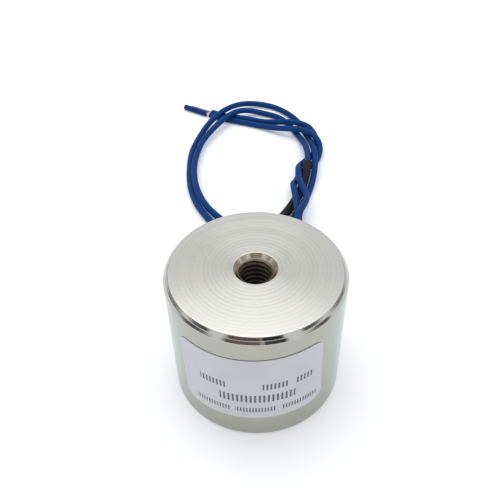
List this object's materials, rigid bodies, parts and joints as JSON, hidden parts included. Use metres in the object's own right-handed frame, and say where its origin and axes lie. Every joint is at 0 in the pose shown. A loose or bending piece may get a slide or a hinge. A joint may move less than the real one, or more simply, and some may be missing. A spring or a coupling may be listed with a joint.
{
  "type": "holding electromagnet",
  "caption": "Round pot-type holding electromagnet in nickel-plated steel with a tapped back, a side label and two blue leads.",
  "frame": {"origin": "centre of the holding face, which is the underside", "axes": "+Z from the holding face to the tapped back along the pot's axis, +Y toward the lead hole, the label faces -Y"},
  "size_m": [0.0397, 0.111, 0.025],
  "materials": {
    "plated_steel": "turned steel with bright nickel plating, slightly warm",
    "bobbin_nylon": "moulded nylon, natural colour",
    "enamelled_copper": "copper wire under clear enamel",
    "insulating_tape": "thin polyester tape",
    "potting_resin": "cast epoxy, black",
    "tin_solder": "dull tin solder",
    "tinned_strands": "tinned copper strands",
    "black_sleeve": "soft plastic sleeve",
    "blue_pvc": "soft PVC insulation, blue",
    "label_paper": "coated paper sticker, pale grey"
  },
  "bodies": {
    "root": {"pot_housing": "plated_steel", "coil_bobbin": "bobbin_nylon", "coil_winding": "enamelled_copper", "coil_tape": "insulating_tape", "potting_ring": "potting_resin", "coil_tail_start": "enamelled_copper", "coil_tail_finish": "enamelled_copper", "solder_joint_start": "tin_solder", "solder_joint_finish": "tin_solder", "joint_patch_start": "insulating_tape", "joint_patch_finish": "insulating_tape", "inner_strands_1": "tinned_strands", "inner_strands_2": "tinned_strands", "lead_sleeve_1": "black_sleeve", "lead_sleeve_2": "black_sleeve", "lead_wire_1": "blue_pvc", "lead_wire_2": "blue_pvc", "lead_strands_1": "tinned_strands", "lead_strands_2": "tinned_strands", "insulation_slug_1": "blue_pvc", "side_label": "label_paper"}
  },
  "joints": []
}
